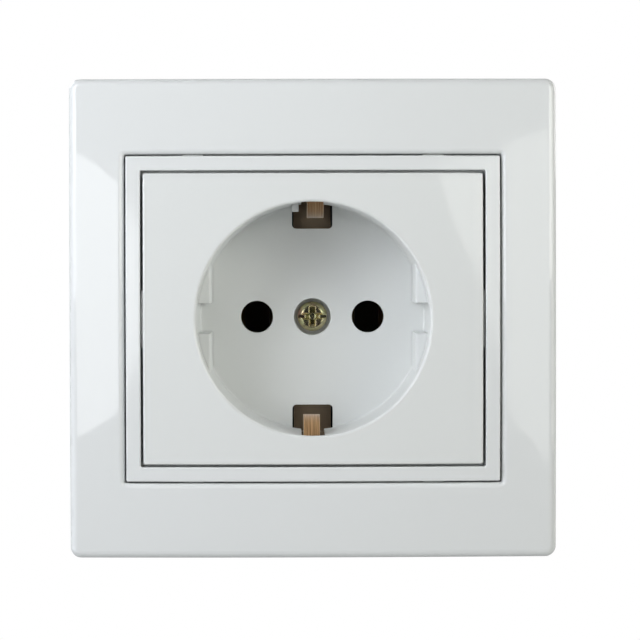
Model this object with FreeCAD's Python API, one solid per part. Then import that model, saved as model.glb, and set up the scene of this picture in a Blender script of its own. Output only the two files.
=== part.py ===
import FreeCAD
import Part
import math
import os

# Type F wall socket with its frame, its cover and the mechanism behind them.
# The pieces are modelled with the socket lying on its back: X to the right, Y up the wall,
# Z out of the wall, and the wall at Z = 0. They are stood upright when they are written, so that
# the finished part has +Z up and faces -Y. All sizes are in millimetres.

# Plug interface
pin_spacing = 19.0
pin_hole_diameter = 5.5
pin_length = 19.0
pin_end_gap = 0.5
well_diameter = 39.0
well_depth = 17.5
well_draft = 0.2
well_wall = 1.5
well_rim_round = 0.45
well_floor_round = 0.4
floor_thickness = 2.0

# Side guides in the well: the flat from the axis, the depth below the rim, the groove, the rounding
guide_flat = 17.15
guide_depth = 5.0
guide_groove = 5.1
guide_round = 0.35

# Windows in the well for the earth tongues
window_width = 6.9
window_start = 15.1
window_corner = 0.7
wall_slot_width = 3.9
rim_bridge = 1.6
window_step_width = 1.1
window_step_length = 1.5
window_step_depth = 6.0

# Pillow-shaped front, shared by cover, ring and frame
rim_height = 10.5
pillow_radius = 450.0
ring_step = 0.15
frame_step = 0.3

# Socket cover
cover_margin_x = 8.75
cover_margin_y = 4.7
cover_face_wall = 1.8
cover_skirt_wall = 1.4
cover_corner = 0.35
cover_edge_round = 0.3
cover_pad_length = 9.6
cover_pad_depth = 1.3
cover_pad_clearance = 0.1
cover_rib = 1.2

# Inset ring
cover_gap = 0.45
ring_band = 2.42
ring_corner = 0.3
ring_edge_round = 0.25
ring_lip_width = 1.6
ring_lip_thickness = 1.0
ring_rib_length = 3.5
ring_rib_place = 20.0
ring_rib_depth = 1.2
ring_rib_clearance = 0.05

# Frame
frame_gap = 0.25
frame_overhang_x = 5.35
frame_overhang_y = 4.7
frame_corner = 1.8
frame_draft = 0.4
frame_edge_round = 1.4
frame_opening_round = 0.9
frame_opening_corner = 0.25
frame_wall = 2.0
frame_skirt_wall = 1.5
frame_ledge_width = 1.5
frame_ledge_thickness = 1.4
frame_ledge_height = 5.3
frame_rib = 1.0
frame_rib_place_x = 17.0
frame_rib_place_y = 14.0
frame_rib_foot = 2.5

# Support plate and the box screws
plate_thickness = 1.2
plate_corner = 5.0
plate_opening_gap = 0.5
box_screw_spacing = 60.0
box_slot_width = 4.2
box_slot_length = 7.0
box_slot_rim = 2.0

# Base
base_corner = 8.0
base_edge_round = 0.8
base_claw_gap = 1.6
base_end_wall = 2.3
pillar_radius = 2.3
pillar_gap = 0.3
terminal_recess_depth = 4.5
terminal_recess_width = 9.2
terminal_place = 11.5
terminal_hole_depth = 5.0

# Rivets between plate and pillars
rivet_radius = 1.0
rivet_head_radius = 1.9
rivet_head_height = 0.8
rivet_grip = 6.0
rivet_clearance = 0.05

# Cover screw and its nut
cover_screw_radius = 1.45
cover_screw_head_radius = 2.55
cover_screw_head_height = 1.9
cover_screw_point = 1.2
screw_recess_diameter = 6.3
screw_recess_depth = 4.2
screw_boss_wall = 1.05
screw_boss_floor = 1.6
screw_hole_clearance = 0.25
nut_side = 5.5
nut_thickness = 2.4
nut_depth = 8.0
nut_clearance = 0.2
thread_clearance = 0.05

# Sheet metal of the contacts
sheet = 0.8
sheet_clearance = 0.3

# Pin contacts
contact_width = 7.0
contact_pinch = 4.2
contact_root = 6.0
contact_mouth = 6.4
contact_mouth_gap = 3.0
contact_bow_height = 9.0
contact_tab_width = 6.0
contact_tab_end = 5.0

# Earth strap, its tongues and the link to the earth terminal
strap_width = 6.4
tongue_width = 2.75
top_tongue_crest = 16.8
bottom_tongue_crest = 16.3
tongue_back = 1.2
tongue_bow_radius = 9.0
tongue_tip_gap = 0.3
top_tongue_shift = 0.43
bottom_tongue_shift = -0.25
strap_hole_clearance = 0.35
link_width = 5.4
link_rivet_place = 12.8
link_head = 3.2
link_web_gap = 2.7
link_rivet_radius = 1.1
link_rivet_head_radius = 1.9
link_rivet_head_height = 0.5

# Terminal screws and clamp washers
terminal_screw_radius = 1.7
terminal_screw_length = 6.0
terminal_head_radius = 3.1
terminal_head_height = 2.1
washer_side = 7.6
washer_thickness = 1.2
washer_corner = 1.0
washer_hole_clearance = 0.2

# Spreader claws and their screws
claw_setback = 1.1
claw_sheet = 1.2
claw_width = 9.0
claw_fork_gap = 5.8
claw_ear = 1.7
claw_ear_height = 1.4
claw_crotch_gap = 0.5
claw_reach = 17.0
claw_flange = 6.2
claw_bend = 1.6
claw_tooth = 1.4
claw_teeth = 3
claw_swing = 18.0
claw_slot_clearance = 0.2
claw_screw_offset = 3.0
claw_screw_radius = 1.5
claw_screw_length = 23.0
claw_head_radius = 2.6
claw_head_height = 1.8

# Shape of every screw head, as shares of its own radius or height
head_shoulder_share = 0.55
drive_arm_share = 0.42
drive_reach_share = 1.5
drive_depth_share = 0.7

# How far cutting bodies run past the surface that they cut
overrun = 2.0

# Places and sizes that follow from the driving dimensions
well_radius = well_diameter / 2
tube_radius = well_radius + well_wall
pin_place = pin_spacing / 2
floor_front = rim_height - well_depth
floor_back = floor_front - floor_thickness
guide_top = rim_height - guide_depth
pillow_centre = rim_height - math.sqrt(pillow_radius ** 2 - well_radius ** 2)

cover_width = well_diameter + 2 * cover_margin_x
cover_height = well_diameter + 2 * cover_margin_y
ring_inner_width = cover_width + 2 * cover_gap
ring_inner_height = cover_height + 2 * cover_gap
ring_width = ring_inner_width + 2 * ring_band
ring_height = ring_inner_height + 2 * ring_band
opening_width = ring_width + 2 * frame_gap
opening_height = ring_height + 2 * frame_gap
ring_bottom = frame_ledge_height
lip_top = ring_bottom + ring_lip_thickness

plate_side = box_screw_spacing + box_slot_length + 2 * box_slot_rim
plate_opening_radius = tube_radius + plate_opening_gap
frame_width = plate_side + 2 * frame_overhang_x
frame_height = plate_side + 2 * frame_overhang_y

screw_seat = floor_front - screw_recess_depth
boss_radius = screw_recess_diameter / 2 + screw_boss_wall
boss_back = screw_seat - screw_boss_floor
strap_front = boss_back
strap_back = strap_front - sheet
tongue_face = well_radius + tongue_back - sheet
strap_end = well_radius + tongue_back
slot_top = rim_height - rim_bridge

claw_pivot = plate_opening_radius + claw_setback
claw_screw_place = claw_pivot + claw_screw_offset
base_width = 2 * (claw_pivot - base_claw_gap)
base_height = 2 * (strap_end + base_end_wall)
base_top = floor_back
recess_floor = floor_front - pin_length - pin_end_gap
base_back = recess_floor - terminal_recess_depth
tab_back = recess_floor - sheet
washer_back = tab_back - washer_thickness
pillar_place = (tube_radius + pillar_gap + pillar_radius) * math.sqrt(0.5)
nut_front = strap_back - nut_depth
nut_back = nut_front - nut_thickness
link_back = strap_back - sheet
link_web = link_rivet_place + link_web_gap


def vector(x, y, z):
    """Return a point or direction."""
    return FreeCAD.Vector(x, y, z)


def block(x_range, y_range, z_range):
    """Return a box between the two limits given on each axis."""
    x_low, x_high = sorted(x_range)
    y_low, y_high = sorted(y_range)
    z_low, z_high = sorted(z_range)
    corner = vector(x_low, y_low, z_low)
    return Part.makeBox(x_high - x_low, y_high - y_low, z_high - z_low, corner)


def centred(width, middle=0.0):
    """Return the limits of a stretch of this width about its middle."""
    return (middle - width / 2, middle + width / 2)


def cylinder(radius, z_range, x=0.0, y=0.0):
    """Return an upright cylinder between two heights."""
    low, high = sorted(z_range)
    return Part.makeCylinder(radius, high - low, vector(x, y, low))


def rounded_outline(width, height, radius, z):
    """Return the closed outline of a rounded rectangle about the axis, at height z."""
    arcs = []
    for quarter, (side_x, side_y) in enumerate(((1, 1), (-1, 1), (-1, -1), (1, -1))):
        centre = vector(side_x * (width / 2 - radius), side_y * (height / 2 - radius), z)
        arcs.append(Part.makeCircle(radius, centre, vector(0, 0, 1), 90 * quarter, 90 * quarter + 90))
    edges = []
    for arc, following in zip(arcs, arcs[1:] + arcs[:1]):
        edges.append(arc)
        start = arc.valueAt(arc.LastParameter)
        end = following.valueAt(following.FirstParameter)
        if start.distanceToPoint(end) > Part.Precision.confusion():
            edges.append(Part.makeLine(start, end))
    return Part.Wire(edges)


def rounded_block(width, height, radius, z_range, x=0.0, y=0.0):
    """Return a rounded rectangle raised between two heights."""
    low, high = sorted(z_range)
    face = Part.Face(rounded_outline(width, height, radius, low))
    face.translate(vector(x, y, 0))
    return face.extrude(vector(0, 0, high - low))


def slot_along_y(width, length, z_range, x, y):
    """Return a round-ended slot that runs along Y."""
    return rounded_block(width, length, width / 2, z_range, x, y)


def pillow(inset):
    """Return the ball whose cap is the front, drawn in from the cover's face by inset."""
    centre = vector(0, 0, pillow_centre)
    ball = Part.makeSphere(pillow_radius - inset, centre, vector(0, 1, 0))
    ball.rotate(centre, vector(0, 1, 0), 180)
    return ball


def edges_above(shape, height):
    """Return the edges that lie wholly above a height."""
    return [edge for edge in shape.Edges if edge.BoundBox.ZMin > height]


def edges_at(shape, height):
    """Return the edges that lie flat at a height."""
    near = 0.01
    found = []
    for edge in shape.Edges:
        box = edge.BoundBox
        if abs(box.ZMin - height) < near and abs(box.ZMax - height) < near:
            found.append(edge)
    return found


def profile(points):
    """Return a flat face through points, closing back to the first."""
    return Part.Face(Part.makePolygon(points + points[:1]))


def arc(start, middle, end):
    """Return the edge of a circular arc through three points."""
    return Part.Arc(start, middle, end).toShape()


def joined(shapes):
    """Return several overlapping solids as one."""
    return shapes[0].fuse(shapes[1:]).removeSplitter()


def mirrored_in_x(shape):
    """Return the left-hand copy of a right-hand shape."""
    return shape.mirror(vector(0, 0, 0), vector(1, 0, 0))


def drafted_block(width, height, radius, lean, top):
    """Return a rounded block on the wall whose sides lean in by lean up to its top."""
    foot = rounded_outline(width, height, radius, 0)
    head = rounded_outline(width - 2 * lean, height - 2 * lean, radius, top)
    return Part.makeLoft([foot, head], True, True)


def frame():
    """Return the frame: a drafted shell under the pillow, with the seat of the ring."""
    top = rim_height + overrun
    lean = frame_draft * top / rim_height
    shell = drafted_block(frame_width, frame_height, frame_corner, lean, top)
    shell = shell.common(pillow(frame_step))
    lowest_edge = rim_height / 2
    shell = shell.makeFillet(frame_edge_round, edges_above(shell, lowest_edge))

    inside = drafted_block(
        frame_width - 2 * frame_wall, frame_height - 2 * frame_wall, frame_corner / 2, lean, top
    )
    inside = inside.common(pillow(frame_step + frame_wall))
    skirt_width = opening_width + 2 * frame_skirt_wall
    skirt_height = opening_height + 2 * frame_skirt_wall
    ledge_bottom = frame_ledge_height - frame_ledge_thickness
    skirt = rounded_block(skirt_width, skirt_height, frame_skirt_wall, (ledge_bottom, top))
    ribs = []
    for side in (-1, 1):
        across = centred(frame_rib, side * frame_rib_place_x)
        ribs.append(block(across, centred(frame_height), (frame_rib_foot, top)))
        along = centred(frame_rib, side * frame_rib_place_y)
        ribs.append(block(centred(frame_width), along, (frame_rib_foot, top)))
    filling = joined([skirt] + ribs).common(inside)

    opening = rounded_block(
        opening_width, opening_height, frame_opening_corner, (frame_ledge_height, top)
    )
    ledge_hole = rounded_block(
        opening_width - 2 * frame_ledge_width,
        opening_height - 2 * frame_ledge_width,
        frame_opening_corner,
        (-overrun, top),
    )
    body = shell.cut(inside).fuse(filling).cut([opening, ledge_hole]).removeSplitter()
    mouth = []
    for edge in edges_above(body, lowest_edge):
        box = edge.BoundBox
        on_opening = max(abs(box.XMin), abs(box.XMax)) < opening_width / 2 + frame_gap
        on_opening = on_opening and max(abs(box.YMin), abs(box.YMax)) < opening_height / 2 + frame_gap
        if on_opening and box.ZMin > rim_height - frame_wall - frame_step:
            mouth.append(edge)
    return body.makeFillet(frame_opening_round, mouth)


def inset_ring():
    """Return the ring, with the lip that the cover sits on and its locating ribs."""
    top = rim_height + overrun
    band = rounded_block(ring_width, ring_height, ring_corner, (ring_bottom, top))
    band = band.common(pillow(ring_step))
    band = band.cut(
        rounded_block(ring_inner_width, ring_inner_height, ring_corner, (ring_bottom, top))
    )
    band = band.makeFillet(ring_edge_round, edges_above(band, lip_top))
    lip = rounded_block(
        ring_inner_width + ring_band, ring_inner_height + ring_band, ring_corner, (ring_bottom, lip_top)
    )
    lip = lip.cut(
        rounded_block(
            ring_inner_width - 2 * ring_lip_width,
            ring_inner_height - 2 * ring_lip_width,
            ring_corner,
            (ring_bottom, lip_top),
        )
    )
    rib_height = ring_height + 2 * (frame_gap - ring_rib_clearance)
    ribs = []
    for side in (-1, 1):
        along = centred(ring_rib_length, side * ring_rib_place)
        rib = block(along, centred(rib_height), (ring_bottom, top))
        ribs.append(rib.common(pillow(ring_step + ring_rib_depth)))
    hollow = rounded_block(
        ring_inner_width + ring_band, ring_inner_height + ring_band, ring_corner, (ring_bottom, top)
    )
    ribs = [rib.cut(hollow) for rib in ribs]
    return joined([band, lip] + ribs)


def well_space():
    """Return the space in the well, narrowing to its floor, with the side guides left out."""
    low = well_radius - well_draft
    high = well_radius + well_draft * overrun / well_depth
    space = Part.makeCone(low, high, well_depth + overrun, vector(0, 0, floor_front))
    space = space.makeFillet(well_floor_round, edges_at(space, floor_front))
    guides = []
    reach = well_radius + overrun
    for side in (-1, 1):
        guide = block((side * guide_flat, side * reach), centred(2 * reach), (floor_back, guide_top))
        chord = []
        for edge in edges_at(guide, guide_top):
            if edge.BoundBox.YLength > reach and abs(edge.CenterOfMass.x) < well_radius:
                chord.append(edge)
        guide = guide.makeFillet(guide_round, chord)
        groove = block((0, side * reach), centred(guide_groove), (floor_back, guide_top))
        guides.append(guide.cut(groove))
    return space.cut(guides)


def earth_cuts():
    """Return the floor windows and wall slots for the two earth tongues."""
    cuts = []
    for side in (-1, 1):
        window = block(
            centred(window_width),
            (side * window_start, side * well_radius),
            (floor_back, floor_front + well_floor_round),
        )
        inner_corners = []
        for edge in window.Edges:
            upright = edge.BoundBox.ZLength > floor_thickness / 2
            if upright and abs(edge.CenterOfMass.y) < well_radius - window_corner:
                inner_corners.append(edge)
        cuts.append(window.makeFillet(window_corner, inner_corners))
        reach = (side * window_start, side * (tube_radius + overrun))
        cuts.append(block(centred(wall_slot_width), reach, (floor_back, slot_top)))
    return cuts


def window_step():
    """Return the small moulded step in the left corner of the upper window."""
    left = -window_width / 2
    return block(
        (left, left + window_step_width),
        (well_radius - window_step_length, well_radius + well_wall / 2),
        (floor_back, rim_height - window_step_depth),
    )


def socket_cover():
    """Return the cover: face, skirt, well with floor, guides, windows and screw boss."""
    top = rim_height + overrun
    body = rounded_block(cover_width, cover_height, cover_corner, (lip_top, top))
    body = body.common(pillow(0))
    body = body.makeFillet(cover_edge_round, edges_above(body, lip_top))
    hollow = rounded_block(
        cover_width - 2 * cover_skirt_wall, cover_height - 2 * cover_skirt_wall, cover_corner, (lip_top, top)
    )
    hollow = hollow.common(pillow(cover_face_wall))
    ribs = []
    for side in (-1, 1):
        ribs.append(block((0, side * cover_width / 2), centred(cover_rib), (lip_top, top)))
        ribs.append(block(centred(cover_rib), (0, side * cover_height / 2), (lip_top, top)))
    ribs = [rib.common(hollow) for rib in ribs]
    tube = cylinder(tube_radius, (floor_back, rim_height - cover_face_wall / 2))
    boss = cylinder(boss_radius, (boss_back, floor_front))
    pad_width = cover_width + 2 * (cover_gap - cover_pad_clearance)
    pads = block(centred(pad_width), centred(cover_pad_length), (lip_top, top))
    pads = pads.common(pillow(cover_pad_depth))
    pads = pads.cut(block(centred(cover_width - cover_skirt_wall), centred(cover_height), (lip_top, top)))
    body = joined([body.cut(hollow), tube, boss, pads] + ribs)

    cuts = [well_space()] + earth_cuts()
    for side in (-1, 1):
        cuts.append(cylinder(pin_hole_diameter / 2, (floor_back, floor_front), side * pin_place))
    cuts.append(cylinder(screw_recess_diameter / 2, (screw_seat, floor_front)))
    cuts.append(cylinder(cover_screw_radius + screw_hole_clearance, (boss_back, screw_seat)))
    body = body.cut(cuts)
    rim = [edge for edge in edges_at(body, rim_height) if edge.BoundBox.XLength < well_diameter + overrun]
    body = body.makeFillet(well_rim_round, rim)
    return joined([body, window_step()])


def support_plate():
    """Return the steel plate with its opening and the slots for box screws and claws."""
    depth = (0, plate_thickness)
    cuts = [cylinder(plate_opening_radius, depth)]
    for side in (-1, 1):
        cuts.append(slot_along_y(box_slot_width, box_slot_length, depth, 0, side * box_screw_spacing / 2))
        for end in (-1, 1):
            hole = rivet_radius + rivet_clearance
            cuts.append(cylinder(hole, depth, side * pillar_place, end * pillar_place))
    claw_cuts = claw_slots()
    cuts += claw_cuts
    cuts += [mirrored_in_x(cut) for cut in claw_cuts]
    return rounded_block(plate_side, plate_side, plate_corner, depth).cut(cuts)


def claw_slots():
    """Return the cuts in the plate that let the right-hand claw and its screw swing."""
    depth = (0, plate_thickness)
    swing = math.radians(claw_swing)
    arm_sweep = claw_sheet / math.cos(swing) + plate_thickness * math.tan(swing)
    arm = (claw_pivot - claw_slot_clearance, claw_pivot + arm_sweep + claw_slot_clearance)
    prong = (claw_width - claw_fork_gap) / 2 + 2 * claw_slot_clearance
    prong_middle = (claw_width + claw_fork_gap) / 4
    cuts = []
    for end in (-1, 1):
        cuts.append(block(arm, centred(prong, end * prong_middle), depth))
    screw_sweep = (claw_screw_offset + claw_screw_radius) / math.cos(swing)
    screw_sweep += plate_thickness * math.tan(swing)
    screw_end = claw_pivot + screw_sweep + claw_slot_clearance
    screw_start = claw_screw_place - claw_screw_radius - claw_slot_clearance
    width = 2 * (claw_screw_radius + claw_slot_clearance)
    middle = (screw_start + screw_end) / 2
    cuts.append(rounded_block(screw_end - screw_start, width, width / 2, depth, middle, 0))
    return cuts


def plate_rivets():
    """Return the four rivets that hold the plate to the base's pillars."""
    rivets = []
    for side in (-1, 1):
        for end in (-1, 1):
            x = side * pillar_place
            y = end * pillar_place
            shank = cylinder(rivet_radius, (plate_thickness - rivet_grip, plate_thickness), x, y)
            head = cylinder(
                rivet_head_radius, (plate_thickness, plate_thickness + rivet_head_height), x, y
            )
            crown = edges_at(head, plate_thickness + rivet_head_height)
            head = head.makeFillet(rivet_head_height / 2, crown)
            rivets.append(joined([shank, head]))
    return Part.makeCompound(rivets)


def base_cuts():
    """Return everything that is hollowed out of the base."""
    strap_channel = strap_width + 2 * sheet_clearance
    strap_length = 2 * (strap_end + sheet_clearance)
    cuts = [
        block(centred(strap_channel), centred(strap_length), (strap_back, base_top)),
        cylinder(boss_radius + sheet_clearance, (strap_back, base_top)),
        cylinder(cover_screw_radius + screw_hole_clearance, (nut_front, strap_back)),
    ]
    nut_room = nut_side + 2 * nut_clearance
    cuts.append(block(centred(nut_room), centred(nut_room), (base_back, nut_front)))

    pocket_x = contact_root + 2 * sheet + 2 * sheet_clearance
    pocket_y = (-contact_width / 2 - sheet - sheet_clearance, contact_width / 2 + sheet_clearance)
    recess_y = (-base_height, sheet_clearance - contact_width / 2)
    hole = terminal_screw_radius + washer_hole_clearance
    hole_range = (recess_floor, recess_floor + terminal_hole_depth)
    for side in (-1, 1):
        middle = side * pin_place
        cuts.append(block(centred(pocket_x, middle), pocket_y, (recess_floor, base_top)))
        cuts.append(block(centred(terminal_recess_width, middle), recess_y, (base_back, recess_floor)))
        cuts.append(cylinder(hole, hole_range, middle, -terminal_place))

    link_room = (link_rivet_place - link_head - sheet_clearance, link_web + sheet + sheet_clearance)
    link_channel = centred(link_width + 2 * sheet_clearance)
    cuts.append(block(link_channel, link_room, (link_back, strap_back)))
    web_room = (link_web - sheet_clearance, link_web + sheet + sheet_clearance)
    cuts.append(block(link_channel, web_room, (recess_floor, strap_back)))
    earth_start = terminal_place - washer_side / 2 - 2 * sheet_clearance
    cuts.append(
        block(centred(terminal_recess_width), (earth_start, base_height), (base_back, recess_floor))
    )
    cuts.append(cylinder(hole, hole_range, 0, terminal_place))
    rivet_room = (link_back - 2 * link_rivet_head_height, link_back)
    cuts.append(cylinder(link_rivet_head_radius + sheet_clearance, rivet_room, 0, link_rivet_place))
    return cuts


def base_body():
    """Return the base with its pillars, contact pockets and terminal recesses."""
    body = rounded_block(base_width, base_height, base_corner, (base_back, base_top))
    body = body.makeFillet(base_edge_round, edges_at(body, base_back))
    pillars = []
    holes = []
    for side in (-1, 1):
        for end in (-1, 1):
            x = side * pillar_place
            y = end * pillar_place
            pillars.append(cylinder(pillar_radius, (base_top - overrun, 0), x, y))
            rivet_end = plate_thickness - rivet_grip - sheet_clearance
            holes.append(cylinder(rivet_radius + rivet_clearance, (rivet_end, 0), x, y))
    return joined([body] + pillars).cut(base_cuts() + holes)


def screw_drive(head_radius, head_height):
    """Return the cross recess with its slot, at the top of a head that sits on height 0."""
    arm = drive_arm_share * head_radius
    reach = drive_reach_share * head_radius
    depth = drive_depth_share * head_height
    arms = [
        block(centred(arm), centred(reach), (head_height - depth, head_height)),
        block(centred(reach), centred(arm), (head_height - depth, head_height)),
    ]
    taper = Part.makeCone(arm / 2, reach / 2, depth, vector(0, 0, head_height - depth))
    cross = joined(arms).common(taper)
    slot = block(centred(2 * head_radius), centred(arm / 2), (head_height - depth / 2, head_height))
    return joined([cross, slot])


def screw(radius, length, head_radius, head_height, point=0.0):
    """Return a pan-head screw whose head sits on height 0 and whose shank runs down from there."""
    shoulder = head_shoulder_share * head_height
    rounding = head_height - shoulder
    flat = head_radius - rounding
    halfway = rounding * math.sqrt(0.5)
    side_point = vector(head_radius, 0, shoulder)
    bulge = vector(flat + halfway, 0, shoulder + halfway)
    crown = vector(flat, 0, head_height)
    outline = [
        Part.makeLine(vector(0, 0, 0), vector(head_radius, 0, 0)),
        Part.makeLine(vector(head_radius, 0, 0), side_point),
        arc(side_point, bulge, crown),
        Part.makeLine(crown, vector(0, 0, head_height)),
        Part.makeLine(vector(0, 0, head_height), vector(0, 0, 0)),
    ]
    head = Part.Face(Part.Wire(outline)).revolve(vector(0, 0, 0), vector(0, 0, 1), 360)
    head = head.cut(screw_drive(head_radius, head_height))
    pieces = [head, cylinder(radius, (point - length, 0))]
    if point:
        pieces.append(Part.makeCone(radius / 2, radius, point, vector(0, 0, -length)))
    return joined(pieces)


def cover_screw():
    """Return the screw in the middle of the well."""
    length = screw_seat - nut_back + cover_screw_point
    fastener = screw(
        cover_screw_radius, length, cover_screw_head_radius, cover_screw_head_height, cover_screw_point
    )
    fastener.translate(vector(0, 0, screw_seat))
    return fastener


def cover_nut():
    """Return the square nut that the cover screw draws on."""
    nut = block(centred(nut_side), centred(nut_side), (nut_back, nut_front))
    return nut.cut(cylinder(cover_screw_radius + thread_clearance, (nut_back, nut_front)))


def pin_contact(side):
    """Return one folded contact: two bowed leaves on an upright web, and the tab to its terminal."""
    foot_height = recess_floor + sheet_clearance
    mouth_top = floor_back - contact_mouth_gap
    bow_start = mouth_top - contact_bow_height
    bow_middle = (mouth_top + bow_start) / 2
    leaves = []
    for hand in (-1, 1):
        root = hand * contact_root / 2
        pinch = hand * contact_pinch / 2
        mouth = hand * contact_mouth / 2
        out = vector(hand * sheet, 0, 0)
        foot = vector(root, 0, foot_height)
        start = vector(root, 0, bow_start)
        middle = vector(pinch, 0, bow_middle)
        end = vector(mouth, 0, mouth_top)
        outline = [
            Part.makeLine(foot, start),
            arc(start, middle, end),
            Part.makeLine(end, end + out),
            arc(end + out, middle + out, start + out),
            Part.makeLine(start + out, foot + out),
            Part.makeLine(foot + out, foot),
        ]
        leaf = Part.Face(Part.Wire(outline)).extrude(vector(0, contact_width, 0))
        leaf.translate(vector(0, -contact_width / 2, 0))
        leaves.append(leaf)
    web_face = -contact_width / 2
    web_room = (web_face - sheet, web_face)
    web = block(centred(contact_root + 2 * sheet), web_room, (tab_back, bow_start))
    tab_end = -terminal_place - contact_tab_end
    tab = block(centred(contact_tab_width), (tab_end, web_face), (tab_back, recess_floor))
    thread = terminal_screw_radius + thread_clearance
    hole = cylinder(thread, (tab_back, recess_floor), 0, -terminal_place)
    contact = joined(leaves + [web, tab]).cut(hole)
    contact.translate(vector(side * pin_place, 0, 0))
    return contact


def tongue(side):
    """Return one earth tongue: an upright leg from the strap and the bow that stands into the well."""
    crest = top_tongue_crest if side > 0 else bottom_tongue_crest
    shift = top_tongue_shift if side > 0 else bottom_tongue_shift
    tip = slot_top - tongue_tip_gap
    centre_y = crest + tongue_bow_radius
    half_bow = math.sqrt(tongue_bow_radius ** 2 - (centre_y - tongue_face) ** 2)
    bow_middle = tip - half_bow
    inner = tongue_bow_radius
    outer = tongue_bow_radius - sheet
    outer_half = math.sqrt(outer ** 2 - (centre_y - strap_end) ** 2)

    def on_bow(radius, half):
        across = centre_y - math.sqrt(radius ** 2 - half ** 2)
        return vector(0, side * across, bow_middle + half)

    leg_low = vector(0, side * tongue_face, strap_back)
    leg_back = vector(0, side * strap_end, strap_back)
    outline = [
        Part.makeLine(leg_low, on_bow(inner, -half_bow)),
        arc(on_bow(inner, -half_bow), on_bow(inner, 0), on_bow(inner, half_bow)),
        Part.makeLine(on_bow(inner, half_bow), on_bow(outer, outer_half)),
        arc(on_bow(outer, outer_half), on_bow(outer, 0), on_bow(outer, -outer_half)),
        Part.makeLine(on_bow(outer, -outer_half), leg_back),
        Part.makeLine(leg_back, leg_low),
    ]
    strip = Part.Face(Part.Wire(outline)).extrude(vector(tongue_width, 0, 0))
    strip.translate(vector(shift - tongue_width / 2, 0, 0))
    thickness = (side * tongue_face, side * strap_end)
    shoulder = block(centred(strap_width), thickness, (strap_back, floor_back - sheet_clearance))
    return joined([strip, shoulder])


def earth_strap():
    """Return the strip under the well's floor with its two tongues."""
    strip = block(centred(strap_width), centred(2 * strap_end), (strap_back, strap_front))
    strap = joined([strip, tongue(-1), tongue(1)])
    screw_hole = cylinder(cover_screw_radius + strap_hole_clearance, (strap_back, strap_front))
    rivet_hole = cylinder(
        link_rivet_radius + rivet_clearance, (strap_back, strap_front), 0, link_rivet_place
    )
    return strap.cut([screw_hole, rivet_hole])


def earth_link():
    """Return the bracket from the strap down to the earth terminal."""
    head_start = link_rivet_place - link_head
    tab_start = terminal_place - washer_side / 2 - sheet_clearance
    pieces = [
        block(centred(link_width), (head_start, link_web + sheet), (link_back, strap_back)),
        block(centred(link_width), (link_web, link_web + sheet), (tab_back, strap_back)),
        block(centred(contact_tab_width), (tab_start, link_web + sheet), (tab_back, recess_floor)),
    ]
    rivet_hole = cylinder(
        link_rivet_radius + rivet_clearance, (link_back, strap_back), 0, link_rivet_place
    )
    screw_hole = cylinder(
        terminal_screw_radius + thread_clearance, (tab_back, recess_floor), 0, terminal_place
    )
    return joined(pieces).cut([rivet_hole, screw_hole])


def earth_rivet():
    """Return the rivet that joins strap and link."""
    head_top = strap_front + link_rivet_head_height
    tail = link_back - link_rivet_head_height
    pieces = [
        cylinder(link_rivet_radius, (tail, head_top), 0, link_rivet_place),
        cylinder(link_rivet_head_radius, (strap_front, head_top), 0, link_rivet_place),
        cylinder(link_rivet_head_radius, (tail, link_back), 0, link_rivet_place),
    ]
    return joined(pieces)


def terminal_screw(x, y):
    """Return a terminal screw, head to the back, on its clamp washer."""
    fastener = screw(
        terminal_screw_radius, terminal_screw_length, terminal_head_radius, terminal_head_height
    )
    fastener.rotate(vector(0, 0, 0), vector(1, 0, 0), 180)
    fastener.translate(vector(x, y, washer_back))
    return fastener


def clamp_washer(x, y):
    """Return the square washer that clamps a wire on its tab."""
    washer = rounded_block(washer_side, washer_side, washer_corner, (washer_back, tab_back), x, y)
    hole = cylinder(terminal_screw_radius + washer_hole_clearance, (washer_back, tab_back), x, y)
    return washer.cut(hole)


def claw():
    """Return the right-hand claw: a forked arm behind the plate and a toothed flange."""
    inner = claw_pivot
    outer = claw_pivot + claw_sheet
    foot = -claw_reach
    flange_back = foot - claw_sheet
    tip = claw_pivot + claw_flange
    section = [
        vector(inner, 0, -claw_crotch_gap),
        vector(outer, 0, -claw_crotch_gap),
        vector(outer, 0, foot),
        vector(tip, 0, foot),
        vector(tip, 0, flange_back),
        vector(inner, 0, flange_back),
    ]
    arm = profile(section).extrude(vector(0, claw_width, 0))
    arm.translate(vector(0, -claw_width / 2, 0))
    bend = []
    for edge in arm.Edges:
        middle = edge.CenterOfMass
        along_y = edge.BoundBox.YLength > claw_width / 2
        at_corner = abs(middle.x - inner) < claw_sheet / 2 and abs(middle.z - flange_back) < claw_sheet / 2
        if along_y and at_corner:
            bend.append(edge)
    arm = arm.makeFillet(claw_bend, bend)
    pieces = [arm]
    prong = (claw_width - claw_fork_gap) / 2
    prong_middle = (claw_width + claw_fork_gap) / 4
    ear_top = plate_thickness + claw_ear_height
    for end in (-1, 1):
        across = centred(prong, end * prong_middle)
        pieces.append(block((inner, outer), across, (-claw_crotch_gap - claw_sheet, ear_top)))
        ear = (end * (claw_width / 2 - prong / 2), end * (claw_width / 2 + claw_ear))
        pieces.append(block((inner, outer), ear, (plate_thickness, ear_top)))
    body = joined(pieces)
    pitch = claw_width / claw_teeth
    cuts = []
    for step in range(claw_teeth + 1):
        middle = -claw_width / 2 + step * pitch
        gap = [
            vector(tip, middle - pitch / 2, flange_back),
            vector(tip - claw_tooth, middle, flange_back),
            vector(tip, middle + pitch / 2, flange_back),
        ]
        cuts.append(profile(gap).extrude(vector(0, 0, claw_sheet)))
    thread = claw_screw_radius + thread_clearance
    cuts.append(cylinder(thread, (flange_back, foot), claw_screw_place))
    return body.cut(cuts)


def claw_screw():
    """Return the right-hand claw screw, its head on the front of the plate."""
    fastener = screw(claw_screw_radius, claw_screw_length, claw_head_radius, claw_head_height)
    fastener.translate(vector(claw_screw_place, 0, plate_thickness))
    return fastener


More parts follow.
